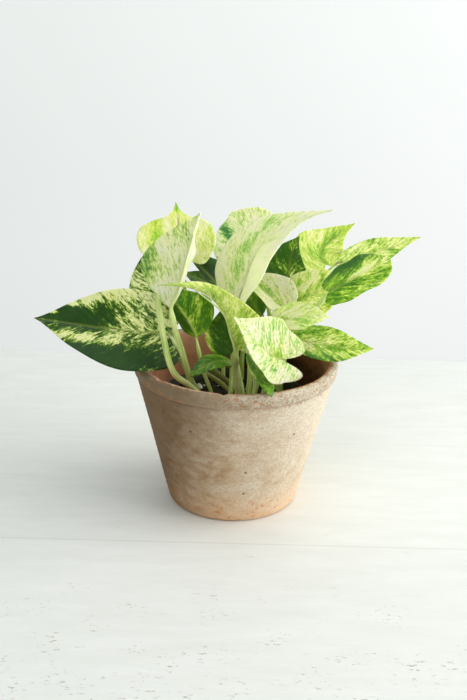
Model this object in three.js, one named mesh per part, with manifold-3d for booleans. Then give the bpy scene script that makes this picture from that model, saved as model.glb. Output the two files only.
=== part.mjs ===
// Potted snow queen pothos, in millimetres, +Z up.
// The origin is on the floor under the pot's axis, and the camera's side is -Y.
import * as THREE from 'three';
import { mergeVertices } from 'three/addons/utils/BufferGeometryUtils.js';
import Module from 'manifold-3d';

const wasm = await Module();
wasm.setup();

// Driving sizes
const CLEARANCE = 0.3;
const POT_HEIGHT = 100;
const RIM_RADIUS = 68.5;
const BASE_RADIUS = 44;
const FLOOR_THICKNESS = 9;
const DRAIN_RADIUS = 7;
const RIM_WALL = 5.5;
const COLLAR_HEIGHT = 8;
const LINER_WALL = 1.3;
const LINER_RIM_HEIGHT = 72;
const SOIL_HEIGHT = 66;
const BLADE_THICKNESS = 0.8;
const STALK_SINK = 0.08;
const POT_SEGMENTS = 44;

const plant = new THREE.Group();

function addPiece(name, geometry, color, roughness) {
  const material = new THREE.MeshStandardMaterial({ color, roughness, metalness: 0 });
  const mesh = new THREE.Mesh(geometry, material);
  mesh.name = name;
  plant.add(mesh);
}

// Booleans
function toSolid(geometry) {
  const bare = geometry.clone();
  bare.deleteAttribute('normal');
  bare.deleteAttribute('uv');
  const merged = mergeVertices(bare, 1e-4);
  const vertProperties = new Float32Array(merged.attributes.position.array);
  const triVerts = new Uint32Array(merged.index.array);
  return new wasm.Manifold(new wasm.Mesh({ numProp: 3, vertProperties, triVerts }));
}

function toGeometry(solid) {
  const mesh = solid.getMesh();
  const geometry = new THREE.BufferGeometry();
  geometry.setAttribute('position', new THREE.BufferAttribute(mesh.vertProperties, 3));
  geometry.setIndex(new THREE.BufferAttribute(mesh.triVerts, 1));
  geometry.computeVertexNormals();
  return geometry;
}

function lathe(profile, segments) {
  const points = profile.map(([radius, height]) => new THREE.Vector2(radius, height));
  return new THREE.LatheGeometry(points, segments).rotateX(Math.PI / 2);
}

function tube(points, radius, sides, steps) {
  const corners = [];
  for (let k = 0; k < sides; k += 1) {
    const angle = (2 * Math.PI * k) / sides;
    corners.push(new THREE.Vector2(radius * Math.cos(angle), radius * Math.sin(angle)));
  }
  const extrudePath = new THREE.CatmullRomCurve3(points, false, 'catmullrom', 0.5);
  return new THREE.ExtrudeGeometry(new THREE.Shape(corners), { steps, extrudePath, bevelEnabled: false });
}

// Terracotta pot: tapered wall, collar round the mouth, drain hole in the floor
const collarFoot = POT_HEIGHT - COLLAR_HEIGHT;
const potProfile = [
  [DRAIN_RADIUS, 0],
  [BASE_RADIUS - 1, 0],
  [BASE_RADIUS + 0.5, 1.5],
  [RIM_RADIUS - 2.3, collarFoot - 1.5],
  [RIM_RADIUS - 2, collarFoot - 1],
  [RIM_RADIUS - 0.9, collarFoot],
  [RIM_RADIUS + 0.3, POT_HEIGHT - 1],
  [RIM_RADIUS - 0.5, POT_HEIGHT],
  [RIM_RADIUS - RIM_WALL, POT_HEIGHT],
  [RIM_RADIUS - RIM_WALL - 1, POT_HEIGHT - 1],
  [RIM_RADIUS - RIM_WALL - 9, POT_HEIGHT - 30],
  [BASE_RADIUS - 6, FLOOR_THICKNESS],
  [DRAIN_RADIUS, FLOOR_THICKNESS],
  [DRAIN_RADIUS, 0],
];
addPiece('terracotta_pot', lathe(potProfile, POT_SEGMENTS), '#b9a48c', 0.9);

// Black plastic nursery pot: thin wall, turned-out lip, ring of drain holes
const linerFloor = FLOOR_THICKNESS + CLEARANCE;
const linerBase = 33.5;
const linerTop = 48.6;
const lipFoot = LINER_RIM_HEIGHT - 4;
const linerProfile = [
  [0, linerFloor],
  [linerBase, linerFloor],
  [linerTop, lipFoot],
  [linerTop + 2.8, lipFoot + 1.5],
  [linerTop + 2.8, LINER_RIM_HEIGHT],
  [linerTop + 1.2, LINER_RIM_HEIGHT],
  [linerTop - LINER_WALL, lipFoot],
  [linerBase - LINER_WALL, linerFloor + LINER_WALL],
  [0, linerFloor + LINER_WALL],
];

function drainedLiner() {
  const holeCount = 6;
  let liner = toSolid(lathe(linerProfile, POT_SEGMENTS));
  for (let k = 0; k < holeCount; k += 1) {
    const angle = (2 * Math.PI * k) / holeCount;
    const hole = new THREE.CylinderGeometry(3.5, 3.5, 6, 8).rotateX(Math.PI / 2);
    hole.translate(22 * Math.cos(angle), 22 * Math.sin(angle), linerFloor);
    liner = liner.subtract(toSolid(hole));
  }
  return toGeometry(liner);
}
addPiece('nursery_pot', drainedLiner(), '#1e1e1d', 0.5);

// Leaf outlines: one half, as length along the rib and share of the half width
const OUTLINES = {
  heart: [[0, 0], [-0.09, 0.22], [-0.11, 0.48], [-0.03, 0.78], [0.13, 0.97], [0.32, 1],
    [0.52, 0.84], [0.72, 0.53], [0.87, 0.22], [0.95, 0.07], [1, 0]],
  spade: [[0, 0], [0.02, 0.24], [0.06, 0.5], [0.13, 0.76], [0.24, 0.95], [0.38, 1],
    [0.55, 0.86], [0.73, 0.55], [0.87, 0.24], [0.95, 0.08], [1, 0]],
  slim: [[0, 0], [0.03, 0.24], [0.08, 0.46], [0.16, 0.72], [0.28, 0.93], [0.42, 1],
    [0.58, 0.88], [0.74, 0.6], [0.87, 0.28], [0.95, 0.1], [1, 0]],
  taper: [[0, 0], [-0.09, 0.22], [-0.11, 0.48], [-0.03, 0.78], [0.1, 0.97], [0.24, 0.98],
    [0.4, 0.7], [0.56, 0.42], [0.74, 0.22], [0.88, 0.09], [1, 0]],
  acute: [[0, 0], [-0.09, 0.25], [-0.1, 0.52], [0.02, 0.82], [0.22, 0.98], [0.44, 1],
    [0.62, 0.88], [0.72, 0.62], [0.78, 0.3], [0.88, 0.1], [1, 0]],
  broad: [[0, 0], [-0.08, 0.25], [-0.1, 0.52], [0, 0.8], [0.2, 0.97], [0.5, 1],
    [0.72, 0.95], [0.86, 0.74], [0.94, 0.38], [0.98, 0.14], [1, 0]],
};

// Leaves. rib: four points on the midrib, base to tip. half: half widths, left and right of the rib.
// face: where the upper side looks, faceTip: the same at the tip. fold: lift of each half, in degrees.
// lobe: stretch of the lobes behind the base. stalk: points from the soil up to the blade.
const LEAVES = [
  { name: 'leaf_left_large', outline: 'heart', half: [27.5, 27.5], fold: [8, 8], lobe: 0.8,
    rib: [[-45, -14, 120], [-73, -26, 126], [-99, -34, 132], [-126, -38, 137]],
    face: [0.05, -0.8, 0.58],
    stalk: [[-27, 3, 60], [-30, -14, 88], [-36, -18, 109]], stalkRadius: 1.8 },
  { name: 'leaf_left_pointed', outline: 'spade', half: [27, 27], fold: [80, 20],
    rib: [[-40, -46, 148], [-34, -50, 169], [-29, -50, 189], [-23, -46, 208]],
    face: [0, 0.98, 0.1],
    stalk: [[-22, 0, 60], [-29, -22, 92], [-35, -38, 120]], stalkRadius: 1.7 },
  { name: 'leaf_front_curled', outline: 'taper', half: [25, 13], fold: [-5, 150],
    rib: [[-1, -28, 118], [-7, -38, 140], [-19, -50, 159], [-47, -64, 168]],
    face: [0.2, 0.95, -0.2],
    stalk: [[3, 2, 60], [3, -8, 79], [0, -18, 101]], stalkRadius: 2.6, sheathRadius: 4.2 },
  { name: 'leaf_front_white', outline: 'heart', half: [18, 23], fold: [25, 0], lobe: 3.9,
    rib: [[29, -34, 112], [19, -48, 122], [9, -64, 137], [-2, -76, 154]],
    face: [0.8, -0.55, 0],
    stalk: [[16, -6, 60], [22, -8, 84], [30, -20, 104]], stalkRadius: 1.6 },
  { name: 'leaf_right_low', outline: 'slim', half: [12.5, 12.5], fold: [8, 8],
    rib: [[34, -7, 118], [53, -6, 114], [73, -6, 111], [91, -6, 111]],
    face: [0.1, -0.75, 0.65],
    stalk: [[23, 2, 60], [27, 0, 95]], stalkRadius: 1.6 },
  { name: 'leaf_tall_pale', outline: 'heart', half: [22, 22], fold: [20, 32],
    rib: [[1, -4, 142], [8, -2, 164], [22, 2, 184], [61, 4, 201]],
    face: [-0.75, -0.65, 0.1], faceTip: [0.2, -0.6, 0.75],
    stalk: [[9, 11, 60], [10, 10, 90], [6, 2, 120]], stalkRadius: 1.8 },
  { name: 'leaf_top_back', outline: 'heart', half: [25, 25], fold: [5, 5],
    rib: [[12, 36, 162], [5, 44, 172], [-2, 54, 180], [-7, 64, 183]],
    face: [-0.2, -0.85, 0.5],
    stalk: [[0, 36, 60], [1, 41, 100], [4, 43, 135]], stalkRadius: 1.6 },
  { name: 'leaf_middle_dark', outline: 'heart', half: [26, 14], fold: [8, 8],
    rib: [[36, 32, 131], [35, 38, 144], [36, 42, 158], [42, 46, 173]],
    face: [0.05, -0.8, 0.6],
    stalk: [[16, 32, 60], [22, 34, 95], [30, 32, 115]], stalkRadius: 1.6 },
  { name: 'leaf_right_top', outline: 'heart', half: [20, 20], fold: [8, 8],
    rib: [[61, 50, 152], [58, 58, 160], [66, 67, 166], [83, 73, 177]],
    face: [0.1, -0.6, 0.85], faceTip: [0.1, -0.3, 0.95],
    stalk: [[29, 25, 60], [34, 34, 100], [52, 42, 138]], stalkRadius: 1.5 },
  { name: 'leaf_right_long', outline: 'slim', half: [10.5, 10.5], fold: [8, 8],
    rib: [[66, 36, 156], [85, 40, 161], [104, 44, 167], [126, 48, 174]],
    face: [0.1, -0.7, 0.7],
    stalk: [[31, 16, 60], [36, 24, 100], [54, 34, 138]], stalkRadius: 1.5 },
  { name: 'leaf_right_broad', outline: 'broad', half: [18, 16], fold: [-30, 25],
    rib: [[60, 2, 147], [72, 0, 155], [85, 0, 163], [98, 4, 171]],
    face: [0, -0.75, 0.65],
    stalk: [[29, 6, 60], [33, 6, 100], [48, 4, 128]], stalkRadius: 1.6 },
  { name: 'leaf_right_middle', outline: 'heart', half: [17, 17], fold: [8, 8], lobe: 0.3,
    rib: [[37, 20, 132], [50, 20, 139], [65, 21, 146], [83, 22, 154]],
    face: [0.1, -0.85, 0.5],
    stalk: [[21, 20, 60], [25, 24, 95]], stalkRadius: 1.6 },
  { name: 'leaf_left_striped', outline: 'acute', half: [29, 24], fold: [10, -10], lobe: 2,
    rib: [[-36, 16, 165], [-39, 26, 173], [-41, 33, 183], [-43, 38, 196]],
    face: [-0.05, -0.6, 0.8],
    stalk: [[-8, -12, 60], [-27, -28, 88], [-39, -40, 104], [-45, -44, 129], [-49, -36, 157],
      [-42, -12, 161]], stalkRadius: 2 },
  { name: 'leaf_left_back', outline: 'heart', half: [20, 20], fold: [8, 8],
    rib: [[-48, 4, 136], [-54, 6, 145], [-60, 8, 154], [-64, 12, 164]],
    face: [-0.2, -0.75, 0.65],
    stalk: [[-20, 12, 60], [-30, 4, 82], [-37, 3, 106]], stalkRadius: 1.6 },
  { name: 'leaf_left_arched', outline: 'spade', half: [9, 20], fold: [-60, 8],
    rib: [[-26, -11, 117], [-32, -13, 130], [-39, -14, 141], [-48, -14, 156]],
    face: [0.1, -0.75, 0.6],
    stalk: [[-13, 5, 60], [-16, -6, 77], [-21, -9, 92], [-24, -11, 106]], stalkRadius: 1.3 },
  { name: 'leaf_inner_dark', outline: 'heart', half: [20, 16], fold: [8, 8],
    rib: [[1, 12, 104], [-2, 14, 114], [-4, 16, 124], [-7, 18, 134]],
    face: [0, -0.8, 0.6],
    stalk: [[-3, 19, 60], [-1, 20, 84]], stalkRadius: 1.4 },
  { name: 'leaf_cream_small', outline: 'heart', half: [11, 11], fold: [10, 10], lobe: 2.4, small: true,
    rib: [[31, -10, 131], [41, -10, 133], [51, -10, 134], [61, -8, 132]],
    face: [0, -0.6, 0.8],
    stalk: [[18, 6, 60], [23, 0, 95]], stalkRadius: 1.4 },
  { name: 'leaf_middle_small', outline: 'heart', half: [17, 19], fold: [45, 5], small: true,
    rib: [[31, 10, 132], [22, 13, 139], [13, 17, 146], [5, 22, 153]],
    face: [0.1, -0.7, 0.7],
    stalk: [[13, 17, 60], [16, 12, 80], [26, 12, 118]], stalkRadius: 1.5 },
  { name: 'leaf_olive_small', outline: 'spade', half: [10, 10], fold: [8, 8], small: true,
    rib: [[17, 16, 124], [11, 18, 132], [7, 20, 138], [1, 22, 144]],
    face: [-0.3, -0.6, 0.7],
    stalk: [[7, 23, 60], [16, 22, 95]], stalkRadius: 1.4 },
  { name: 'leaf_inner_left', outline: 'slim', half: [4, 13], fold: [8, 8], small: true,
    rib: [[-9, 20, 139], [-17, 24, 147], [-26, 28, 155], [-35, 30, 167]],
    face: [0.2, -0.7, 0.7],
    stalk: [[-3, 31, 60], [-2, 31, 77], [-4, 28, 109]], stalkRadius: 1.4 },
  { name: 'leaf_rim_small', outline: 'slim', half: [7, 7], fold: [8, 8], small: true,
    rib: [[-2, -4, 95], [-12, -14, 102], [-22, -24, 101], [-29, -30, 97]],
    face: [0, -0.5, 0.85],
    stalk: [[-5, -6, 60], [-3, -4, 78]], stalkRadius: 1.2 },
  { name: 'leaf_front_narrow', outline: 'slim', half: [7, 7], fold: [8, 8], small: true,
    rib: [[8, -14, 109], [14, -36, 105], [19, -56, 102.6], [22, -74, 103.4]],
    face: [0.3, -0.3, 0.9],
    stalk: [[10, -9, 60], [13, -6, 80], [12, -8, 98]], stalkRadius: 1.2 },
  { name: 'leaf_back_left_narrow', outline: 'slim', half: [7, 7], fold: [8, 8], small: true,
    rib: [[-11, 44, 132], [-20, 50, 136], [-30, 54, 139], [-40, 58, 142]],
    face: [0.2, -0.7, 0.7],
    stalk: [[-8, 34, 60], [-9, 40, 90]], stalkRadius: 1.3 },
  { name: 'leaf_rear_left', outline: 'heart', half: [14, 13], fold: [-10, -10], small: true,
    rib: [[-46, 34, 132], [-53, 50, 143], [-58, 63, 142], [-63, 76, 132]],
    face: [-0.2, 0, 1],
    stalk: [[-26, 28, 60], [-44, 31, 100]], stalkRadius: 1.6 },
  { name: 'leaf_rear_middle', outline: 'heart', half: [15, 15], fold: [-10, -10], small: true,
    rib: [[20, 52, 134], [21, 61, 144], [22, 69, 142], [24, 76, 133]],
    face: [0.05, 0, 1],
    stalk: [[14, 40, 60], [24, 46, 100]], stalkRadius: 1.6 },
  { name: 'leaf_rear_right', outline: 'heart', half: [13, 13], fold: [-10, -10], small: true,
    rib: [[38, 48, 128], [44, 58, 137], [50, 68, 136], [56, 76, 127]],
    face: [0.2, 0, 1],
    stalk: [[23, 36, 60], [32, 43, 100]], stalkRadius: 1.6 },
  { name: 'leaf_rear_low', outline: 'spade', half: [11, 11], fold: [-8, -8], small: true,
    rib: [[8, 47, 105], [9, 57, 112], [10, 66, 110], [12, 76, 102]],
    face: [0, 0, 1],
    stalk: [[5, 42, 60], [5, 45, 86]], stalkRadius: 1.5 },
];

// Short leafless vines that lie half out of the mix
const VINES = [
  { name: 'vine_stem_upper', radius: 1.9, points: [[3, 28, 60], [-4, 24, 71], [-17, 16, 85], [-23, 10, 90]] },
  { name: 'vine_stem_lower', radius: 1.6, points: [[1, 14, 58], [-5, 12, 71], [-17, 5, 84], [-23, -1, 89]] },
];

const vector = ([x, y, z]) => new THREE.Vector3(x, y, z);

// A cubic curve through the four rib points, run on straight behind the base for the lobes
function ribCurve(points) {
  const [p0, p1, p2, p3] = points.map(vector);
  const c1 = p0.clone().multiplyScalar(-5).addScaledVector(p1, 18).addScaledVector(p2, -9);
  c1.addScaledVector(p3, 2).divideScalar(6);
  const c2 = p0.clone().multiplyScalar(2).addScaledVector(p1, -9).addScaledVector(p2, 18);
  c2.addScaledVector(p3, -5).divideScalar(6);
  return new THREE.CubicBezierCurve3(p0, c1, c2, p3);
}

function ribPoint(rib, x) {
  const point = rib.getPoint(Math.max(x, 0));
  if (x < 0) point.addScaledVector(rib.v1.clone().sub(rib.v0), 3 * x);
  return point;
}

// The place x along the rib and y half widths out, on one side of it
function bladePoint(leaf, rib, x, y, side) {
  const along = rib.getTangent(THREE.MathUtils.clamp(x, 0, 1));
  const faceTip = leaf.faceTip ?? leaf.face;
  const face = vector(leaf.face).lerp(vector(faceTip), THREE.MathUtils.clamp(x, 0, 1));
  const up = face.addScaledVector(along, -face.dot(along)).normalize();
  const across = up.clone().cross(along);
  const angle = THREE.MathUtils.degToRad(leaf.fold[side]);
  const reach = y * leaf.half[side];
  const sign = side === 0 ? 1 : -1;
  const point = ribPoint(rib, x);
  point.addScaledVector(across, sign * reach * Math.cos(angle));
  return point.addScaledVector(up, reach * Math.sin(angle));
}

// The blade's middle surface: rows from base to tip, columns from the left edge to the right
function bladeSheet(leaf, rib, rows, columns) {
  const outline = new THREE.SplineCurve(OUTLINES[leaf.outline].map(([x, y]) => new THREE.Vector2(x, y)));
  const positions = [...ribPoint(rib, 0).toArray()];
  for (let i = 1; i < rows; i += 1) {
    const edge = outline.getPoint(i / rows);
    const edgeX = edge.x < 0 ? edge.x * (leaf.lobe ?? 1) : edge.x;
    const ribX = (i / rows) ** 1.6;
    for (let j = 0; j <= columns; j += 1) {
      const out = (2 * j) / columns - 1;
      const share = Math.abs(out);
      const x = ribX + (edgeX - ribX) * (share + share * share) / 2;
      positions.push(...bladePoint(leaf, rib, x, edge.y * share, out < 0 ? 0 : 1).toArray());
    }
  }
  positions.push(...ribPoint(rib, 1).toArray());
  const last = positions.length / 3 - 1;
  const corner = (i, j) => {
    if (i === 0) return 0;
    return i === rows ? last : 1 + (i - 1) * (columns + 1) + j;
  };
  const triangles = [];
  for (let i = 0; i < rows; i += 1) {
    for (let j = 0; j < columns; j += 1) {
      const [a, b, c, d] = [corner(i, j), corner(i + 1, j), corner(i + 1, j + 1), corner(i, j + 1)];
      if (b !== c) triangles.push([a, b, c]);
      if (a !== d) triangles.push([a, c, d]);
    }
  }
  const sheet = new THREE.BufferGeometry();
  sheet.setAttribute('position', new THREE.Float32BufferAttribute(positions, 3));
  sheet.setIndex(triangles.flat());
  sheet.computeVertexNormals();
  return { sheet, triangles };
}

// The sheet thickened to both sides, with a wall along its open edge
function bladeSolid(leaf, rib, rows, columns) {
  const { sheet, triangles } = bladeSheet(leaf, rib, rows, columns);
  const middle = sheet.attributes.position;
  const normal = sheet.attributes.normal;
  const positions = [];
  for (const offset of [BLADE_THICKNESS / 2, -BLADE_THICKNESS / 2]) {
    for (let k = 0; k < middle.count; k += 1) {
      const point = new THREE.Vector3().fromBufferAttribute(middle, k);
      point.addScaledVector(new THREE.Vector3().fromBufferAttribute(normal, k), offset);
      positions.push(...point.toArray());
    }
  }
  const back = middle.count;
  const edges = new Set(triangles.flatMap(([a, b, c]) => [`${a},${b}`, `${b},${c}`, `${c},${a}`]));
  const index = [];
  for (const [a, b, c] of triangles) {
    index.push(a, b, c, a + back, c + back, b + back);
    for (const [from, to] of [[a, b], [b, c], [c, a]]) {
      if (!edges.has(`${to},${from}`)) {
        index.push(to, from, from + back, to, from + back, to + back);
      }
    }
  }
  const geometry = new THREE.BufferGeometry();
  geometry.setAttribute('position', new THREE.Float32BufferAttribute(positions, 3));
  geometry.setIndex(index);
  return toSolid(geometry);
}

function stalkPoints(leaf, rib) {
  return [...leaf.stalk.map(vector), ribPoint(rib, 0), ribPoint(rib, STALK_SINK)];
}

// The points of a stem, started a little deeper, for the hole it stands in
function deeper(points) {
  const start = points[0].clone().sub(points[1]).setLength(CLEARANCE).add(points[0]);
  return [start, ...points.slice(1)];
}

const holes = [];

function leafGeometry(leaf) {
  const rib = ribCurve(leaf.rib);
  const [rows, columns, sides] = leaf.small ? [8, 4, 5] : [10, 6, 6];
  const points = stalkPoints(leaf, rib);
  const steps = 2 * points.length - 3;
  let solid = bladeSolid(leaf, rib, rows, columns).add(toSolid(tube(points, leaf.stalkRadius, sides, steps)));
  const footRadius = leaf.sheathRadius ?? leaf.stalkRadius;
  const foot = points.slice(0, 3);
  if (leaf.sheathRadius) {
    solid = solid.add(toSolid(tube(foot, footRadius, sides, 3)));
  }
  holes.push(tube(deeper(points), footRadius + CLEARANCE, sides, steps));
  return toGeometry(solid);
}

const PALE = '#d3dfa6';
const GREEN = '#7f9d4b';
const DARK = '#3e5a35';
const DARK_LEAVES = ['leaf_left_large', 'leaf_middle_dark', 'leaf_inner_dark', 'leaf_rim_small', 'leaf_front_narrow'];
const PALE_LEAVES = ['leaf_tall_pale', 'leaf_top_back', 'leaf_front_white', 'leaf_left_pointed', 'leaf_cream_small'];

for (const leaf of LEAVES) {
  const shade = PALE_LEAVES.includes(leaf.name) ? PALE : GREEN;
  addPiece(leaf.name, leafGeometry(leaf), DARK_LEAVES.includes(leaf.name) ? DARK : shade, 0.4);
}

for (const vine of VINES) {
  const points = vine.points.map(vector);
  addPiece(vine.name, tube(points, vine.radius, 6, 6), '#8a8750', 0.6);
  holes.push(tube(deeper(points), vine.radius + CLEARANCE, 6, 6));
}

// Potting mix: fills the nursery pot, lumps and perlite crumbs on top, a hole for each stem
function seededRandom(seed) {
  let state = seed;
  return () => {
    state = (state * 1664525 + 1013904223) % 4294967296;
    return state / 4294967296;
  };
}

function pottingMix() {
  const linerSlope = (linerTop - linerBase) / (lipFoot - linerFloor);
  const bottom = linerFloor + LINER_WALL + CLEARANCE;
  const inner = (height) => linerBase - LINER_WALL + linerSlope * (height - linerFloor) - 2 * CLEARANCE;
  const profile = [
    [0, bottom],
    [inner(bottom), bottom],
    [inner(SOIL_HEIGHT - 1), SOIL_HEIGHT - 1],
    [inner(SOIL_HEIGHT - 1) - 3, SOIL_HEIGHT],
    [0, SOIL_HEIGHT + 1],
  ];
  let mix = toSolid(lathe(profile, POT_SEGMENTS));
  const random = seededRandom(7);
  const crumbCount = 26;
  for (let k = 0; k < crumbCount; k += 1) {
    const angle = k * 2.4 + random();
    const radius = 42 * Math.sqrt((k + 0.5) / crumbCount);
    const size = 1.4 + 1.4 * random();
    const crumb = new THREE.IcosahedronGeometry(size, 0).rotateX(random() * 3).rotateZ(random() * 3);
    crumb.translate(radius * Math.cos(angle), radius * Math.sin(angle), SOIL_HEIGHT + 0.6);
    mix = mix.add(toSolid(crumb));
  }
  for (const hole of holes) {
    mix = mix.subtract(toSolid(hole));
  }
  return toGeometry(mix);
}
addPiece('potting_mix', pottingMix(), '#3b3027', 0.95);

export default plant;
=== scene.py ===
"""Potted snow queen pothos: finer leaves, stems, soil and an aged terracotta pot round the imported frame.

Sizes are in millimetres until a mesh is finished, where they become metres. Lights and stage are in metres.
"""

import math
import random

import bmesh
import bpy
from mathutils import Matrix, Vector, noise


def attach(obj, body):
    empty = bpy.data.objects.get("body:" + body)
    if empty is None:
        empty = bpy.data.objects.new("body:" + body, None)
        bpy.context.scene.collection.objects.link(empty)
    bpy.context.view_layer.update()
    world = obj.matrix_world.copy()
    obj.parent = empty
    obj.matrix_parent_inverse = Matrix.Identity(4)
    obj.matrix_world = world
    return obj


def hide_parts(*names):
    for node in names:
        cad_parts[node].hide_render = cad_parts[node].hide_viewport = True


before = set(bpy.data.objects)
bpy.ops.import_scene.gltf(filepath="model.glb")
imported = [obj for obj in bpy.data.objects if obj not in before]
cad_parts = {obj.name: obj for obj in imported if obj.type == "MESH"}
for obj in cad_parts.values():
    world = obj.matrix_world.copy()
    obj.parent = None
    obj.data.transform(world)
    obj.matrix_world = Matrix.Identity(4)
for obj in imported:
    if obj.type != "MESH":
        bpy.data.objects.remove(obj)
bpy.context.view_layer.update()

MM = 0.001

# Camera: the view that the pot's rim, groove and base were fitted to
CAMERA_PITCH = 20.5
CAMERA_ROLL = 1.5
CAMERA_DISTANCE = 650
CAMERA_TARGET = Vector((-1.6, 0, 105))


def add_camera():
    pitch, roll = math.radians(CAMERA_PITCH), math.radians(CAMERA_ROLL)
    level = Vector((1, 0, 0))
    raised = Vector((0, math.sin(pitch), math.cos(pitch)))
    back = Vector((0, -math.cos(pitch), math.sin(pitch)))
    right = level * math.cos(roll) + raised * math.sin(roll)
    up = raised * math.cos(roll) - level * math.sin(roll)
    data = bpy.data.cameras.new("camera")
    data.lens = 50
    data.sensor_width = 36
    data.clip_start = 0.02
    camera = bpy.data.objects.new("camera", data)
    turn = Matrix((right, up, back)).transposed().to_4x4()
    camera.matrix_world = Matrix.Translation((CAMERA_TARGET + back * CAMERA_DISTANCE) * MM) @ turn
    bpy.context.collection.objects.link(camera)
    bpy.context.scene.camera = camera


add_camera()


# Materials
def colour(code):
    """The linear colour of an sRGB hex code such as '#b98a63'."""
    parts = [int(code[i : i + 2], 16) / 255 for i in (1, 3, 5)]
    return [p / 12.92 if p <= 0.04045 else ((p + 0.055) / 1.055) ** 2.4 for p in parts] + [1]


def fill(made, inputs):
    """Fills or links inputs of a node, given in their order or by name. A hex code is a colour."""
    for name, value in inputs.items() if isinstance(inputs, dict) else enumerate(inputs):
        if isinstance(value, bpy.types.NodeSocket):
            made.id_data.links.new(value, made.inputs[name])
        else:
            made.inputs[name].default_value = colour(value) if isinstance(value, str) else value


def node(tree, kind, inputs=(), out=0, stops=(), **settings):
    """Adds a node with its settings, links and a ramp's stops. Gives its output named or numbered out."""
    made = tree.nodes.new("ShaderNode" + kind)
    for name, value in settings.items():
        setattr(made, name, value)
    fill(made, inputs)
    for k, (position, value) in enumerate(stops):
        stop = made.color_ramp.elements[k] if k < 2 else made.color_ramp.elements.new(position)
        stop.position = position
        stop.color = colour(value) if isinstance(value, str) else [value, value, value, 1]
    return made.outputs[out]


def new_material(name):
    material = bpy.data.materials.new(name)
    material.use_nodes = True
    return material, material.node_tree, material.node_tree.nodes["Principled BSDF"]


def place_in_mm(tree):
    """Object coordinates in millimetres."""
    metres = node(tree, "TexCoord", out="Object")
    return node(tree, "VectorMath", (metres, (1000, 1000, 1000)), operation="MULTIPLY")


# How a Mix node mixes colours: its inputs are then 0 for the share, and 6 and 7 for the two colours
COLOURS = {"out": 2, "data_type": "RGBA"}

# How green tissue is where a blade turns from cream to pale, mid and deep green
GREEN_STOPS = (0.26, 0.4, 0.56, 0.78)


def blade_material(name, shades, lime, gloss, under=False):
    """Waxy cuticle over marbled leaf tissue. shades: cream, pale, mid and deep, by how green it is."""
    material, tree, shader = new_material(name)
    grain = node(tree, "Attribute", out="Vector", attribute_name="grain")
    paint = node(tree, "Attribute", out="Vector", attribute_name="paint")
    vein = node(tree, "Attribute", out="Fac", attribute_name="vein")
    tone, yellow, mottle = node(tree, "SeparateXYZ", (paint,)).node.outputs
    # The marbling follows the side veins: about 2 mm across them and 10 mm along them, with finer flecks.
    # Of each noise: its features' size in mm across, along and through, its detail, roughness and distortion
    streak, blotch, fleck, cloud, cells = (
        node(tree, "TexNoise", {
            "Vector": node(tree, "VectorMath", (grain, size), operation="DIVIDE"),
            "Scale": 1, "Detail": detail, "Roughness": rough, "Distortion": warp})
        for size, detail, rough, warp in (
            ((1.7, 10, 2), 4, 0.65, 0.5), ((7, 18, 9), 2, 0.5, 0.3), ((0.9, 2.4, 1.2), 3, 0.6, 0.3),
            ((11, 11, 11), 2, 0.55, 0), ((0.5, 0.5, 0.5), 1, 0.55, 0)))
    # Each noise lies round 0.5, so their weighted sum is brought back to lie round 0
    layers = ((blotch, 1.5), (streak, 2.4), (fleck, 1.9))
    spread = -sum(weight for _, weight in layers) / 2
    for layer, weight in layers:
        spread = node(tree, "Math", (layer, weight, spread), operation="MULTIPLY_ADD")
    amount = node(tree, "Math", (spread, mottle, tone), operation="MULTIPLY_ADD")
    green = node(tree, "ValToRGB", (amount,), stops=zip(GREEN_STOPS, shades))
    yellowish = node(tree, "ValToRGB", (amount,), stops=zip(GREEN_STOPS, lime))
    tinted = node(tree, "Mix", {0: yellow, 6: green, 7: yellowish}, **COLOURS)
    # A blade is a little lighter and yellower on its midrib
    on_rib = node(tree, "Math", (vein, 0.5 if under else 0.24), operation="MULTIPLY")
    ribbed = node(tree, "Mix", {0: on_rib, 6: tinted, 7: lime[1]}, **COLOURS)
    cloudy = node(tree, "CombineColor", (cloud, cloud, cloud))
    shaded = node(tree, "Mix", {0: 0.35, 6: ribbed, 7: cloudy}, **COLOURS, blend_type="SOFT_LIGHT")
    # Side veins every 4 mm, pressed in from above, and a fine cellular grain, drawn at 0.5 mm to show.
    # At a scale of 0.314 a Wave node's bands lie 1 apart
    side_veins = node(tree, "TexWave", {
        "Vector": node(tree, "VectorMath", (grain, (0.25, 0.012, 0)), operation="MULTIPLY"),
        "Scale": 0.314, "Distortion": 0.6, "Detail": 1, "Detail Scale": 0.5}, out="Fac", wave_profile="SIN")
    cellular = node(tree, "Math", (cells, 0.04), operation="MULTIPLY")
    relief = node(tree, "Math", (side_veins, 0.12, cellular), operation="MULTIPLY_ADD")
    fill(shader, {
        "Base Color": shaded,
        "Roughness": node(tree, "Math", (cloud, 0.2, gloss), operation="MULTIPLY_ADD"),
        "IOR": 1.38,
        # Light comes through the thin blade, best where it is pale
        "Subsurface Weight": node(tree, "MapRange", (amount, 0.35, 0.7, 1, 0.3)),
        "Subsurface Radius": (1.0, 1.15, 0.5),
        "Subsurface Scale": 3 * MM,
        "Normal": node(tree, "Bump", {"Height": relief, "Strength": 0.9 if under else 0.6, "Distance": MM}),
    })
    return material


# Cream, pale, mid and deep tissue, where a blade is yellowish and for each kind of blade
LIME_SHADES = ("#f3f6b8", "#d3e66a", "#92c126", "#3f7f10")
SHADES = {
    # The deep kind's cream and pale are darker and greyer than the other kinds': partly their own colour,
    # partly painted shade for blades that hang in shade
    "deep": ("#d6dba6", "#9db062", "#325b18", "#142f0b"),
    "fresh": ("#eaf2b2", "#c5da7c", "#6fa32c", "#265c12"),
    # The snow kind's pale and mid are a little bluish: partly their own colour, partly a painted cool sheen
    # of reflected sky
    "snow": ("#f8fcce", "#dff2b0", "#9ccb70", "#3d8443"),
    "olive": ("#dfe3b4", "#a7b873", "#4f7430", "#214218"),
}
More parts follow.
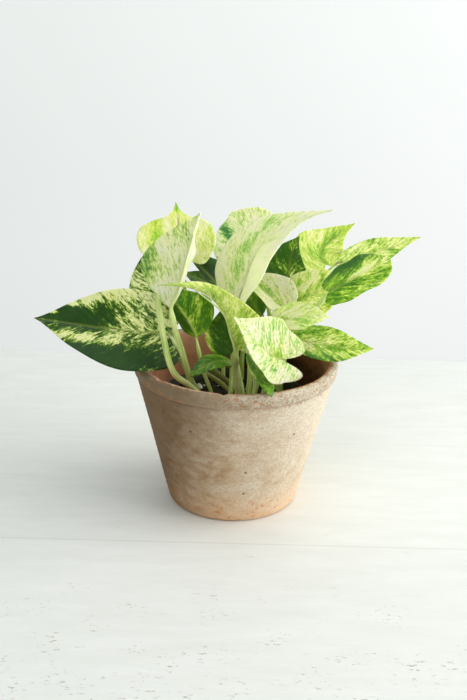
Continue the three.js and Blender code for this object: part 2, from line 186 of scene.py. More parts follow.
# The same from below
LIME_UNDERSIDE = ("#ebf2ac", "#d0e272", "#a2c640", "#588a22")
# The snow kind's underside is drawn almost as pale as its upper side: partly its own colour, partly painted
# light for undersides that turn away from the window
SNOW_UNDERSIDE = ("#f9fcd2", "#e4f3b4", "#b2d47e", "#5e8f46")
GREEN_UNDERSIDE = ("#e8f0b4", "#cbdc90", "#98b65c", "#4b7530")


def both_sides(key, gloss):
    """The upper and the under side of a blade. The underside is duller, paler and greyer."""
    upper = blade_material(f"waxy pothos blade, {key}", SHADES[key], LIME_SHADES, gloss)
    faded = SNOW_UNDERSIDE if key == "snow" else GREEN_UNDERSIDE
    under_name = f"matt underside of a pothos blade, {key}"
    return upper, blade_material(under_name, faded, LIME_UNDERSIDE, gloss + 0.14, under=True)


BLADES = {key: both_sides(key, 0.3 if key == "deep" else 0.34) for key in SHADES}


def petiole_material(name, pale, green):
    """Fleshy leaf stalk: smooth skin, with pale streaks that run along it."""
    material, tree, shader = new_material(name)
    grain = node(tree, "Attribute", out="Vector", attribute_name="grain")
    tone = node(tree, "SeparateXYZ", (node(tree, "Attribute", out="Vector", attribute_name="paint"),))
    # Streaks 1 mm wide and 22 mm long
    streak = node(tree, "TexNoise", {
        "Vector": node(tree, "VectorMath", (grain, (1.1, 22, 1)), operation="DIVIDE"),
        "Scale": 1, "Detail": 3, "Roughness": 0.6})
    spread = node(tree, "Math", (streak, 2, -1), operation="MULTIPLY_ADD")
    amount = node(tree, "Math", (spread, tone), operation="ADD")
    fill(shader, {
        "Base Color": node(tree, "ValToRGB", (amount,), stops=((0.2, pale), (0.75, green))),
        "Roughness": 0.42,
        "IOR": 1.33,
        "Subsurface Weight": 0.8,
        "Subsurface Radius": (1.0, 1.1, 0.6),
        "Subsurface Scale": 1.3 * MM,
        "Normal": node(tree, "Bump", {"Height": streak, "Strength": 0.25, "Distance": 0.3 * MM}),
    })
    return material


PETIOLE = petiole_material("fleshy pothos petiole", "#e3efa6", "#a5c756")
VINE = petiole_material("woody pothos vine", "#b9b27a", "#6f7a3c")


# Leaves
OUTLINES = {
    "heart": [(0, 0), (-0.09, 0.22), (-0.11, 0.48), (-0.03, 0.78), (0.13, 0.97), (0.32, 1),
              (0.52, 0.84), (0.72, 0.53), (0.87, 0.22), (0.95, 0.07), (1, 0)],
    "spade": [(0, 0), (0.02, 0.24), (0.06, 0.5), (0.13, 0.76), (0.24, 0.95), (0.38, 1),
              (0.55, 0.86), (0.73, 0.55), (0.87, 0.24), (0.95, 0.08), (1, 0)],
    "slim": [(0, 0), (0.03, 0.24), (0.08, 0.46), (0.16, 0.72), (0.28, 0.93), (0.42, 1),
             (0.58, 0.88), (0.74, 0.6), (0.87, 0.28), (0.95, 0.1), (1, 0)],
    "taper": [(0, 0), (-0.09, 0.22), (-0.11, 0.48), (-0.03, 0.78), (0.1, 0.97), (0.24, 0.98),
              (0.4, 0.7), (0.56, 0.42), (0.74, 0.22), (0.88, 0.09), (1, 0)],
    "acute": [(0, 0), (-0.09, 0.25), (-0.1, 0.52), (0.02, 0.82), (0.22, 0.98), (0.44, 1),
              (0.62, 0.88), (0.72, 0.62), (0.78, 0.3), (0.88, 0.1), (1, 0)],
    "broad": [(0, 0), (-0.08, 0.25), (-0.1, 0.52), (0, 0.8), (0.2, 0.97), (0.5, 1),
              (0.72, 0.95), (0.86, 0.74), (0.94, 0.38), (0.98, 0.14), (1, 0)],
}

# Each leaf's form is its CAD solid's: outline, half widths, fold of each half in degrees, the way its face
# looks (face_tip: at the tip), how far its lobes reach back, its rib, and its petiole's line and radius
# (sheath: the radius at the foot). small: fewer faces and lower relief.
# tone: how green, 0 to 1. lime: how yellow. mottle: strength of the marbling. lie: angle of the streaks
# to the midrib. patches: (along, across, half length, half width, change of tone, change of lime).
LEAVES = {
    "leaf_left_large": dict(
        outline="heart", half=(27.5, 27.5), fold=(8, 8), lobe=0.8, face=(0.05, -0.8, 0.58), radius=1.8,
        rib=[(-45, -14, 120), (-73, -26, 126), (-99, -34, 132), (-126, -38, 137)],
        stalk=[(-27, 3, 60), (-30, -14, 88), (-36, -18, 109)], slot="leaf_dark", shades="deep",
        tone=0.52, lime=0.05, mottle=0.72, lie=30,
        patches=[(0.4, -0.75, 0.6, 0.36, 0.6, 0), (0.8, -0.75, 0.2, 0.25, 0.3, 0),
                 (0.75, -0.3, 0.4, 0.11, -0.55, 0.05), (0.8, 0.2, 0.36, 0.3, 0.65, 0),
                 (0.2, 0.5, 0.28, 0.45, -0.1, 0), (0.5, 0.98, 0.4, 0.22, -0.5, 0.05),
                 (0.62, 0.7, 0.1, 0.1, -0.6, 0), (0.75, 0.47, 0.11, 0.08, -0.9, 0),
                 (0.88, 0.2, 0.1, 0.05, -0.9, 0)]),
    "leaf_left_pointed": dict(
        outline="spade", half=(27, 27), fold=(80, 20), face=(0, 0.98, 0.1), radius=1.7,
        rib=[(-40, -46, 148), (-34, -50, 169), (-29, -50, 189), (-23, -46, 208)],
        stalk=[(-22, 0, 60), (-29, -22, 92), (-35, -38, 120)], slot="leaf_pale", shades="snow",
        tone=0.32, lime=0.15, mottle=0.5, lie=24,
        patches=[(0.5, 0.95, 0.25, 0.14, 0.3, 0), (0.12, 0.8, 0.12, 0.25, 0.3, 0),
                 (0.5, -0.4, 0.5, 0.4, -0.12, 0), (0.35, 0.85, 0.25, 0.25, 0.2, 0),
                 (0.8, 0.3, 0.1, 0.3, 0.12, 0.1)]),
    "leaf_front_curled": dict(
        outline="taper", half=(25, 13), fold=(-5, 150), face=(0.2, 0.95, -0.2), radius=2.6, sheath=4.2,
        rib=[(-1, -28, 118), (-7, -38, 140), (-19, -50, 159), (-47, -64, 168)],
        stalk=[(3, 2, 60), (3, -8, 79), (0, -18, 101)], slot="leaf_green", shades="fresh",
        tone=0.44, lime=0.6, mottle=0.4, lie=22, patches=[(0.1, -0.5, 0.2, 0.5, 0, 0)]),
    "leaf_front_white": dict(
        outline="heart", half=(18, 23), fold=(25, 0), lobe=3.9, face=(0.8, -0.55, 0), radius=1.6,
        rib=[(29, -34, 112), (19, -48, 122), (9, -64, 137), (-2, -76, 154)],
        stalk=[(16, -6, 60), (22, -8, 84), (30, -20, 104)], slot="leaf_pale", shades="snow",
        tone=0.42, lime=0.4, mottle=0.5, lie=34,
        patches=[(0.1, 0.1, 0.2, 0.35, 0.1, 0.5), (0.9, 0, 0.2, 0.6, -0.1, 0)]),
    "leaf_right_low": dict(
        outline="slim", half=(12.5, 12.5), fold=(8, 8), face=(0.1, -0.75, 0.65), radius=1.6,
        rib=[(34, -7, 118), (53, -6, 114), (73, -6, 111), (91, -6, 111)],
        stalk=[(23, 2, 60), (27, 0, 95)], slot="leaf_green", shades="fresh",
        tone=0.5, lime=0.3, mottle=0.42, lie=26, patches=[(0.4, 0.9, 0.4, 0.3, 0.2, -0.2)]),
    "leaf_tall_pale": dict(
        outline="heart", half=(22, 22), fold=(20, 32), face=(-0.75, -0.65, 0.1), face_tip=(0.2, -0.6, 0.75),
        radius=1.8,
        rib=[(1, -4, 142), (8, -2, 164), (22, 2, 184), (61, 4, 201)],
        stalk=[(9, 11, 60), (10, 10, 90), (6, 2, 120)], slot="leaf_pale", shades="snow",
        tone=0.29, lime=0.05, mottle=0.3, lie=14,
        patches=[(0.5, -0.35, 0.45, 0.2, 0.24, 0), (0.4, 0.6, 0.6, 0.4, -0.1, 0),
                 (0.4, -0.95, 0.6, 0.14, -0.1, 0.1)]),
    "leaf_top_back": dict(
        outline="heart", half=(25, 25), fold=(5, 5), face=(-0.2, -0.85, 0.5), radius=1.6,
        rib=[(12, 36, 162), (5, 44, 172), (-2, 54, 180), (-7, 64, 183)],
        stalk=[(0, 36, 60), (1, 41, 100), (4, 43, 135)], slot="leaf_pale", shades="snow",
        tone=0.36, lime=0.05, mottle=0.45, lie=20,
        patches=[(0.6, -0.4, 0.3, 0.14, 0.5, -0.1), (0.8, 0.6, 0.3, 0.3, 0.05, 0.3)]),
    "leaf_middle_dark": dict(
        outline="heart", half=(26, 14), fold=(8, 8), face=(0.05, -0.8, 0.6), radius=1.6,
        rib=[(36, 32, 131), (35, 38, 144), (36, 42, 158), (42, 46, 173)],
        stalk=[(16, 32, 60), (22, 34, 95), (30, 32, 115)], slot="leaf_dark", shades="deep",
        tone=0.78, lime=0.3, mottle=0.62, lie=32, patches=[]),
    "leaf_right_top": dict(
        outline="heart", half=(20, 20), fold=(8, 8), face=(0.1, -0.6, 0.85), face_tip=(0.1, -0.3, 0.95),
        radius=1.5,
        rib=[(61, 50, 152), (58, 58, 160), (66, 67, 166), (83, 73, 177)],
        stalk=[(29, 25, 60), (34, 34, 100), (52, 42, 138)], slot="leaf_green", shades="fresh",
        tone=0.43, lime=0.42, mottle=0.26, lie=30, patches=[(0.4, 0, 0.4, 0.12, 0.2, 0)]),
    "leaf_right_long": dict(
        outline="slim", half=(10.5, 10.5), fold=(8, 8), face=(0.1, -0.7, 0.7), radius=1.5,
        rib=[(66, 36, 156), (85, 40, 161), (104, 44, 167), (126, 48, 174)],
        stalk=[(31, 16, 60), (36, 24, 100), (54, 34, 138)], slot="leaf_green", shades="fresh",
        tone=0.44, lime=0.0, mottle=0.36, lie=18, patches=[(0.5, 0.95, 0.6, 0.25, 0.2, 0.1)]),
    "leaf_right_broad": dict(
        outline="broad", half=(18, 16), fold=(-30, 25), face=(0, -0.75, 0.65), radius=1.6,
        rib=[(60, 2, 147), (72, 0, 155), (85, 0, 163), (98, 4, 171)],
        stalk=[(29, 6, 60), (33, 6, 100), (48, 4, 128)], slot="leaf_green", shades="fresh",
        tone=0.5, lime=0.4, mottle=0.42, lie=24,
        patches=[(0.45, -0.85, 0.5, 0.3, 0.45, -0.4), (0.6, -0.1, 0.4, 0.14, -0.3, -0.5),
                 (0.1, 0, 0.3, 1, 0.2, 0.4), (0.85, 0.5, 0.2, 0.4, 0.15, 0.2)]),
    "leaf_right_middle": dict(
        outline="heart", half=(17, 17), fold=(8, 8), lobe=0.3, face=(0.1, -0.85, 0.5), radius=1.6,
        rib=[(37, 20, 132), (50, 20, 139), (65, 21, 146), (83, 22, 154)],
        stalk=[(21, 20, 60), (25, 24, 95)], slot="leaf_green", shades="fresh",
        tone=0.37, lime=0.35, mottle=0.42, lie=30, patches=[(0.1, 0, 0.3, 0.6, 0.2, 0.1)]),
    "leaf_left_striped": dict(
        outline="acute", half=(29, 24), fold=(10, -10), lobe=2, face=(-0.05, -0.6, 0.8), radius=2,
        rib=[(-36, 16, 165), (-39, 26, 173), (-41, 33, 183), (-43, 38, 196)],
        stalk=[(-8, -12, 60), (-27, -28, 88), (-39, -40, 104), (-45, -44, 129), (-49, -36, 157),
               (-42, -12, 161)],
        slot="leaf_green", shades="fresh", tone=0.37, lime=0.4, mottle=0.22, lie=4,
        patches=[(0.35, -0.55, 0.8, 0.12, 0.18, 0.6), (0.4, -0.9, 0.9, 0.1, -0.12, -0.3),
                 (0.4, -0.3, 0.9, 0.08, -0.1, 0), (0.97, 0.5, 0.1, 0.5, 0.7, -0.2),
                 (0.4, 0.5, 0.5, 0.4, 0, 0.1)]),
    "leaf_left_back": dict(
        outline="heart", half=(20, 20), fold=(8, 8), face=(-0.2, -0.75, 0.65), radius=1.6,
        rib=[(-48, 4, 136), (-54, 6, 145), (-60, 8, 154), (-64, 12, 164)],
        stalk=[(-20, 12, 60), (-30, 4, 82), (-37, 3, 106)], slot="leaf_green", shades="olive",
        tone=0.52, lime=0.0, mottle=0.7, lie=36, patches=[]),
    "leaf_left_arched": dict(
        outline="spade", half=(9, 20), fold=(-60, 8), face=(0.1, -0.75, 0.6), radius=1.3,
        rib=[(-26, -11, 117), (-32, -13, 130), (-39, -14, 141), (-48, -14, 156)],
        stalk=[(-13, 5, 60), (-16, -6, 77), (-21, -9, 92), (-24, -11, 106)], slot="leaf_green",
        shades="deep", tone=0.7, lime=0.7, mottle=0.5, lie=34,
        patches=[(0.3, 0, 0.4, 0.1, -0.3, 0.2), (0.5, -0.6, 0.6, 0.4, 0.3, -0.3)]),
    "leaf_inner_dark": dict(
        outline="heart", half=(20, 16), fold=(8, 8), face=(0, -0.8, 0.6), radius=1.4,
        rib=[(1, 12, 104), (-2, 14, 114), (-4, 16, 124), (-7, 18, 134)],
        stalk=[(-3, 19, 60), (-1, 20, 84)], slot="leaf_dark", shades="deep",
        tone=0.85, lime=0.25, mottle=0.45, lie=30, patches=[(0.2, -0.95, 0.5, 0.16, -0.4, 0.6)]),
    "leaf_cream_small": dict(
        outline="heart", half=(11, 11), fold=(10, 10), lobe=2.4, face=(0, -0.6, 0.8), radius=1.4, small=True,
        rib=[(31, -10, 131), (41, -10, 133), (51, -10, 134), (61, -8, 132)],
        stalk=[(18, 6, 60), (23, 0, 95)], slot="leaf_pale", shades="snow",
        tone=0.42, lime=0.55, mottle=0.3, lie=20, patches=[]),
    "leaf_middle_small": dict(
        outline="heart", half=(17, 19), fold=(45, 5), face=(0.1, -0.7, 0.7), radius=1.5, small=True,
        rib=[(31, 10, 132), (22, 13, 139), (13, 17, 146), (5, 22, 153)],
        stalk=[(13, 17, 60), (16, 12, 80), (26, 12, 118)], slot="leaf_green", shades="fresh",
        tone=0.28, lime=0.15, mottle=0.46, lie=20, patches=[(0.5, 0, 0.5, 0.15, 0.3, -0.2)]),
    "leaf_olive_small": dict(
        outline="spade", half=(10, 10), fold=(8, 8), face=(-0.3, -0.6, 0.7), radius=1.4, small=True,
        rib=[(17, 16, 124), (11, 18, 132), (7, 20, 138), (1, 22, 144)],
        stalk=[(7, 23, 60), (16, 22, 95)], slot="leaf_green", shades="olive",
        tone=0.7, lime=0.5, mottle=0.25, lie=20, patches=[]),
    "leaf_inner_left": dict(
        outline="slim", half=(4, 13), fold=(8, 8), face=(0.2, -0.7, 0.7), radius=1.4, small=True,
        rib=[(-9, 20, 139), (-17, 24, 147), (-26, 28, 155), (-35, 30, 167)],
        stalk=[(-3, 31, 60), (-2, 31, 77), (-4, 28, 109)], slot="leaf_green", shades="deep",
        tone=0.72, lime=0, mottle=0.3, lie=6, patches=[(0.4, 0.1, 0.6, 0.25, 0.35, 0)]),
    "leaf_rim_small": dict(
        outline="slim", half=(7, 7), fold=(8, 8), face=(0, -0.5, 0.85), radius=1.2, small=True,
        rib=[(-2, -4, 95), (-12, -14, 102), (-22, -24, 101), (-29, -30, 97)],
        stalk=[(-5, -6, 60), (-3, -4, 78)], slot="leaf_dark", shades="deep",
        tone=0.72, lime=0.5, mottle=0.35, lie=26, patches=[]),
    "leaf_front_narrow": dict(
        outline="slim", half=(7, 7), fold=(8, 8), face=(0.3, -0.3, 0.9), radius=1.2, small=True,
        rib=[(8, -14, 109), (14, -36, 105), (19, -56, 102.6), (22, -74, 103.4)],
        stalk=[(10, -9, 60), (13, -6, 80), (12, -8, 98)], slot="leaf_dark", shades="fresh",
        tone=0.72, lime=0.45, mottle=0.35, lie=16, patches=[(0.5, 0.9, 0.6, 0.2, -0.35, 0.4)]),
    "leaf_back_left_narrow": dict(
        outline="slim", half=(7, 7), fold=(8, 8), face=(0.2, -0.7, 0.7), radius=1.3, small=True,
        rib=[(-11, 44, 132), (-20, 50, 136), (-30, 54, 139), (-40, 58, 142)],
        stalk=[(-8, 34, 60), (-9, 40, 90)], slot="leaf_green", shades="olive",
        tone=0.75, lime=0, mottle=0.3, lie=20, patches=[]),
    "leaf_rear_left": dict(
        outline="heart", half=(14, 13), fold=(-10, -10), face=(-0.2, 0, 1), radius=1.6, small=True,
        rib=[(-46, 34, 132), (-53, 50, 143), (-58, 63, 142), (-63, 76, 132)],
        stalk=[(-26, 28, 60), (-44, 31, 100)], slot="leaf_green", shades="fresh",
        tone=0.45, lime=0.2, mottle=0.7, lie=30, patches=[(0.5, -0.6, 0.4, 0.3, 0.25, 0)]),
    "leaf_rear_middle": dict(
        outline="heart", half=(15, 15), fold=(-10, -10), face=(0.05, 0, 1), radius=1.6, small=True,
        rib=[(20, 52, 134), (21, 61, 144), (22, 69, 142), (24, 76, 133)],
        stalk=[(14, 40, 60), (24, 46, 100)], slot="leaf_green", shades="deep",
        tone=0.52, lime=0.2, mottle=0.8, lie=32, patches=[(0.5, 0.6, 0.4, 0.4, -0.2, 0)]),
    "leaf_rear_right": dict(
        outline="heart", half=(13, 13), fold=(-10, -10), face=(0.2, 0, 1), radius=1.6, small=True,
        rib=[(38, 48, 128), (44, 58, 137), (50, 68, 136), (56, 76, 127)],
        stalk=[(23, 36, 60), (32, 43, 100)], slot="leaf_green", shades="fresh",
        tone=0.42, lime=0.4, mottle=0.55, lie=26, patches=[]),
    "leaf_rear_low": dict(
        outline="spade", half=(11, 11), fold=(-8, -8), face=(0, 0, 1), radius=1.5, small=True,
        rib=[(8, 47, 105), (9, 57, 112), (10, 66, 110), (12, 76, 102)],
        stalk=[(5, 42, 60), (5, 45, 86)], slot="leaf_green", shades="deep",
        tone=0.62, lime=0.2, mottle=0.6, lie=28, patches=[]),
}

BLADE_THICKNESS = 0.55
# Columns and rows of a blade's grid
FULL_GRID = (40, 72)
SMALL_GRID = (26, 40)
VEIN_SPACING = 4.6
# The direction straight across the side veins: this much along the midrib, and this much in towards it
ACROSS_VEINS = (0.62, 0.78)


def catmull(p0, p1, p2, p3, t):
    slope1, slope2 = (p2 - p0) / 2, (p3 - p1) / 2
    cubic = 2 * p1 - 2 * p2 + slope1 + slope2
    square = -3 * p1 + 3 * p2 - 2 * slope1 - slope2
    return ((cubic * t + square) * t + slope1) * t + p1


def spline(points, t, open_ends=False):
    """A point on a smooth line through all points. open_ends runs its ends on straight."""
    last = len(points) - 1
    k = min(int(t * last), last - 1)
    if k > 0:
        before = points[k - 1]
    else:
        before = 2 * points[0] - points[1] if open_ends else points[0]
    if k + 2 <= last:
        after = points[k + 2]
    else:
        after = 2 * points[last] - points[last - 1] if open_ends else points[last]
    return catmull(before, points[k], points[k + 1], after, t * last - k)


class Blade:
    """The middle surface of one leaf, the same formula as its CAD solid's."""

    def __init__(self, leaf):
        p0, p1, p2, p3 = (Vector(p) for p in leaf["rib"])
        # Handles of the curve that goes through p1 and p2 at a third and two thirds
        handle1 = (-5 * p0 + 18 * p1 - 9 * p2 + 2 * p3) / 6
        handle2 = (2 * p0 - 9 * p1 + 18 * p2 - 5 * p3) / 6
        self.ends = (p0, handle1, handle2, p3)
        self.outline = [Vector(p) for p in OUTLINES[leaf["outline"]]]
        self.leaf = leaf
        self.length = sum((self.rib((k + 1) / 20) - self.rib(k / 20)).length for k in range(20))

    def rib(self, x):
        p0, p1, p2, p3 = self.ends
        if x < 0:
            return p0 + (p1 - p0) * 3 * x
        u = 1 - x
        return p0 * u**3 + p1 * 3 * u * u * x + p2 * 3 * u * x * x + p3 * x**3

    def axes(self, x):
        """Directions along the rib, across it to the left, and up out of the blade."""
        x = min(max(x, 0), 1)
        p0, p1, p2, p3 = self.ends
        u = 1 - x
        along = ((p1 - p0) * u * u + (p2 - p1) * 2 * u * x + (p3 - p2) * x * x).normalized()
        face = Vector(self.leaf["face"]).lerp(Vector(self.leaf.get("face_tip", self.leaf["face"])), x)
        up = (face - along * face.dot(along)).normalized()
        return along, up.cross(along), up

    def flat(self, out, t):
        """Where column out (-1 left to 1 right) and row t (0 to 1) lie: along the rib, half widths out."""
        edge = spline(self.outline, t)
        edge_x = edge.x * self.leaf.get("lobe", 1) if edge.x < 0 else edge.x
        rib_x = t**1.6
        share = abs(out)
        return rib_x + (edge_x - rib_x) * (share + share * share) / 2, edge.y * share

    def point(self, x, y, side):
        _, across, up = self.axes(x)
        angle = math.radians(self.leaf["fold"][side])
        reach = y * self.leaf["half"][side]
        sign = 1 if side == 0 else -1
        return self.rib(x) + across * (sign * reach * math.cos(angle)) + up * (reach * math.sin(angle))


def blade_relief(leaf, blade, x, y, out, seed):
    """Height above the smooth blade, in mm: midrib groove, pillows between side veins, wavy margin."""
    side = 0 if out < 0 else 1
    distance = y * leaf["half"][side]
    size = 0.6 if leaf.get("small") else 1
    groove = -0.4 * size * math.exp(-((distance / 1.3) ** 2)) * (1 - 0.7 * max(x, 0))
    inner = min(distance / 5, 1) * (1 - abs(out) ** 4)
    over_veins = x * blade.length * ACROSS_VEINS[0] - distance * ACROSS_VEINS[1]
    sway = 0.8 * noise.noise(Vector((x * 3, y * 2, seed)))
    pillow = 0.16 * size * inner * math.cos(2 * math.pi * over_veins / VEIN_SPACING + sway)
    roll = noise.noise(Vector((x * 2.6, out * 1.4, seed * 3.1))) * 1.3 * size * abs(out) ** 2
    ripple = 0.7 * size * abs(out) ** 5 * math.sin(x * 15 + seed * 5 + side * 2)
    fade = min(1, 6 * (1 - x)) * min(1, max(0.1, 5 * (x + 0.12)))
    return groove + pillow + (roll + ripple) * fade


def grow_blade(leaf, seed):
    """A bmesh of the blade: a grid moved into the leaf's outline, given relief and then a thickness."""
    columns, rows = SMALL_GRID if leaf.get("small") else FULL_GRID
    bm = bmesh.new()
    bmesh.ops.create_grid(bm, x_segments=columns, y_segments=rows, size=1)
    grain = bm.verts.layers.float_vector.new("grain")
    paint = bm.verts.layers.float_vector.new("paint")
    vein = bm.verts.layers.float.new("vein")
    height = bm.verts.layers.float.new("height")
    down_from = bm.verts.layers.float_vector.new("down_from")
    blade = Blade(leaf)
    lie = math.radians(leaf["lie"])
    ends = []
    for vert in bm.verts:
        out, t = vert.co.x, (vert.co.y + 1) / 2
        x, y = blade.flat(out, t)
        side = 0 if out < 0 else 1
        vert.co = blade.point(x, y, side)
        distance = y * leaf["half"][side]
        down = x * blade.length
        # In mm: across the streaks, along them, and a depth of its own for each half of each blade
        vert[grain] = (
            down * math.sin(lie) - distance * math.cos(lie) + 0.006 * distance * distance,
            down * math.cos(lie) + distance * math.sin(lie),
            seed * 17 + (6 if side else 0) * min(1, distance),
        )
        tone, lime = leaf["tone"], leaf["lime"]
        signed = y if side else -y
        for px, py, long, wide, more, yellow in leaf["patches"]:
            weight = math.exp(-(((x - px) / long) ** 2) - ((signed - py) / wide) ** 2)
            tone += more * weight
            lime += yellow * weight
        vert[paint] = (tone, min(max(lime, 0), 1), leaf["mottle"])
        vert[vein] = math.exp(-((distance / (0.5 + 0.5 * (1 - x))) ** 2)) * (1 - 0.7 * max(x, 0))
        vert[height] = blade_relief(leaf, blade, x, y, out, seed)
        if t < 0.001 or t > 0.999:
            ends.append(vert)
    bmesh.ops.remove_doubles(bm, verts=ends, dist=0.01)
    bm.normal_update()
    for vert in bm.verts:
        vert[down_from] = vert.normal
    for vert in bm.verts:
        vert.co += vert[down_from] * (vert[height] + BLADE_THICKNESS / 2)
    grown = bmesh.ops.extrude_face_region(bm, geom=bm.faces[:], use_keep_orig=True)["geom"]
    for item in grown:
        if isinstance(item, bmesh.types.BMVert):
            item.co -= item[down_from] * BLADE_THICKNESS
        if isinstance(item, bmesh.types.BMFace):
            item.material_index = 1
    bmesh.ops.recalc_face_normals(bm, faces=bm.faces[:])
    if bm.calc_volume(signed=True) < 0:
        bmesh.ops.reverse_faces(bm, faces=bm.faces[:])
    bm.verts.layers.float.remove(height)
    # Taking one layer away moves the rest, so this one is found again
    bm.verts.layers.float_vector.remove(bm.verts.layers.float_vector["down_from"])
    return bm


def tube(points, radius_at, sides, steps, up, seed, tone, groove=0.0):
    """A bmesh of a round stem along smooth points: a grid wrapped round the line, with closed ends."""
    bm = bmesh.new()
    bmesh.ops.create_grid(bm, x_segments=sides, y_segments=steps, size=1)
    # The same layers as a blade's, which a petiole is joined to
    grain = bm.verts.layers.float_vector.new("grain")
    paint = bm.verts.layers.float_vector.new("paint")
    bm.verts.layers.float.new("vein")
    centres = [spline(points, k / steps, open_ends=True) for k in range(steps + 1)]
    lengths = [0]
    for k in range(steps):
        lengths.append(lengths[-1] + (centres[k + 1] - centres[k]).length)
    frames = []
    side = None
    for k in range(steps + 1):
        ahead = (centres[min(k + 1, steps)] - centres[max(k - 1, 0)]).normalized()
        side = ahead.cross(up if side is None else side.cross(ahead)).normalized()
        frames.append((side, ahead.cross(side)))
    for vert in bm.verts:
        k = round((vert.co.y + 1) / 2 * steps)
        angle = math.pi * vert.co.x
        share = lengths[k] / lengths[-1]
        radius = radius_at(share, lengths[k], lengths[-1])
        radius *= 1 - groove * math.exp(-((angle / 0.55) ** 2))
        radius += 0.06 * noise.noise(Vector((angle, lengths[k] * 0.2, seed)))
        first, second = frames[k]
        vert.co = centres[k] + (second * -math.cos(angle) + first * math.sin(angle)) * radius
        vert[grain] = (angle * 1.6, lengths[k], seed * 13)
        vert[paint] = (tone, 0, 0.5)
    bmesh.ops.remove_doubles(bm, verts=bm.verts[:], dist=0.005)
    bmesh.ops.holes_fill(bm, edges=[edge for edge in bm.edges if edge.is_boundary], sides=0)
    bmesh.ops.recalc_face_normals(bm, faces=bm.faces[:])
    return bm


def piece(name, bm, materials, replaces):
    """Turns a bmesh in millimetres into an object in metres that rides on the plant's one body."""
    bmesh.ops.scale(bm, vec=(MM, MM, MM), verts=bm.verts[:])
    mesh = bpy.data.meshes.new(name)
    bm.to_mesh(mesh)
    bm.free()
    mesh.shade_smooth()
    obj = bpy.data.objects.new(name, mesh)
    for material in materials:
        mesh.materials.append(material)
    bpy.context.collection.objects.link(obj)
    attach(obj, "root")
    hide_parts(replaces)


def join(bm, other, material_index):
    """Adds another bmesh's faces to bm, with a material of their own."""
    for face in other.faces:
        face.material_index = material_index
    mesh = bpy.data.meshes.new("part")
    other.to_mesh(mesh)
    other.free()
    bm.from_mesh(mesh)
    bpy.data.meshes.remove(mesh)


# A midrib's keel starts from its petiole's radius, but from no more than this
KEEL_RADIUS = 1.6
# How far along the rib the keel's line has points, and how deep each lies as a share of its radius
KEEL_LINE = ((0, 0.6), (0.14, 0.53), (0.42, 0.38), (0.78, 0.2))


def petiole_width(leaf, keel):
    """Thick at the sheathed foot, a slight knee under the blade, then the keel of the midrib."""
    sheath = leaf.get("sheath", leaf["radius"] * 1.25)
    foot_length = 26 if "sheath" in leaf else 14
    radius = leaf["radius"]

    def radius_at(share, run, total):
        left = total - keel - run
        if left < 0:
            return min(radius, KEEL_RADIUS) * (0.2 + 0.4 * (1 + left / keel))
        foot = (sheath - radius) * math.exp(-((run / foot_length) ** 2))
        knee = 0.15 * radius * math.exp(-(((left - 6) / 4) ** 2))
        return (radius + foot + knee) * (0.6 + 0.4 * min(1, left / 8))

    return radius_at


for seed, (name, leaf) in enumerate(LEAVES.items(), 1):
    body = grow_blade(leaf, seed)
    shape = Blade(leaf)
    line = [Vector(p) for p in leaf["stalk"]]
    line += [shape.rib(x) - shape.axes(x)[2] * (0.4 + share * min(leaf["radius"], KEEL_RADIUS))
             for x, share in KEEL_LINE]
    width = petiole_width(leaf, KEEL_LINE[-1][0] * shape.length)
    stalk = tube(line, width, sides=14, steps=63, up=shape.axes(0)[2], seed=seed,
                 tone=0.2 + 0.25 * leaf["tone"], groove=0.12)
    join(body, stalk, 2)
    piece(f"{name}_blade", body, [*BLADES[leaf["shades"]], PETIOLE], name)


# Leafless vines, with a ring at each node
VINES = {
    "vine_stem_upper": (1.9, [(3, 28, 60), (-4, 24, 71), (-17, 16, 85), (-23, 10, 90)]),
    "vine_stem_lower": (1.6, [(1, 14, 58), (-5, 12, 71), (-17, 5, 84), (-23, -1, 89)]),
}


def vine_width(radius):
    def radius_at(share, run, total):
        swell = sum(0.3 * math.exp(-(((run - at) / 1.1) ** 2)) for at in (12, 26, 38))
        end = max(0, (share - 0.9) / 0.1)
        return (radius + swell) * math.sqrt(max(0.05, 1 - end * end))

    return radius_at


for seed, (name, (radius, points)) in enumerate(VINES.items(), 40):
    line = [Vector(p) for p in points]
    stem = tube(line, vine_width(radius), sides=16, steps=60, up=Vector((0, 0, 1)), seed=seed, tone=0.5)
    piece(f"{name}_bark", stem, [VINE], name)


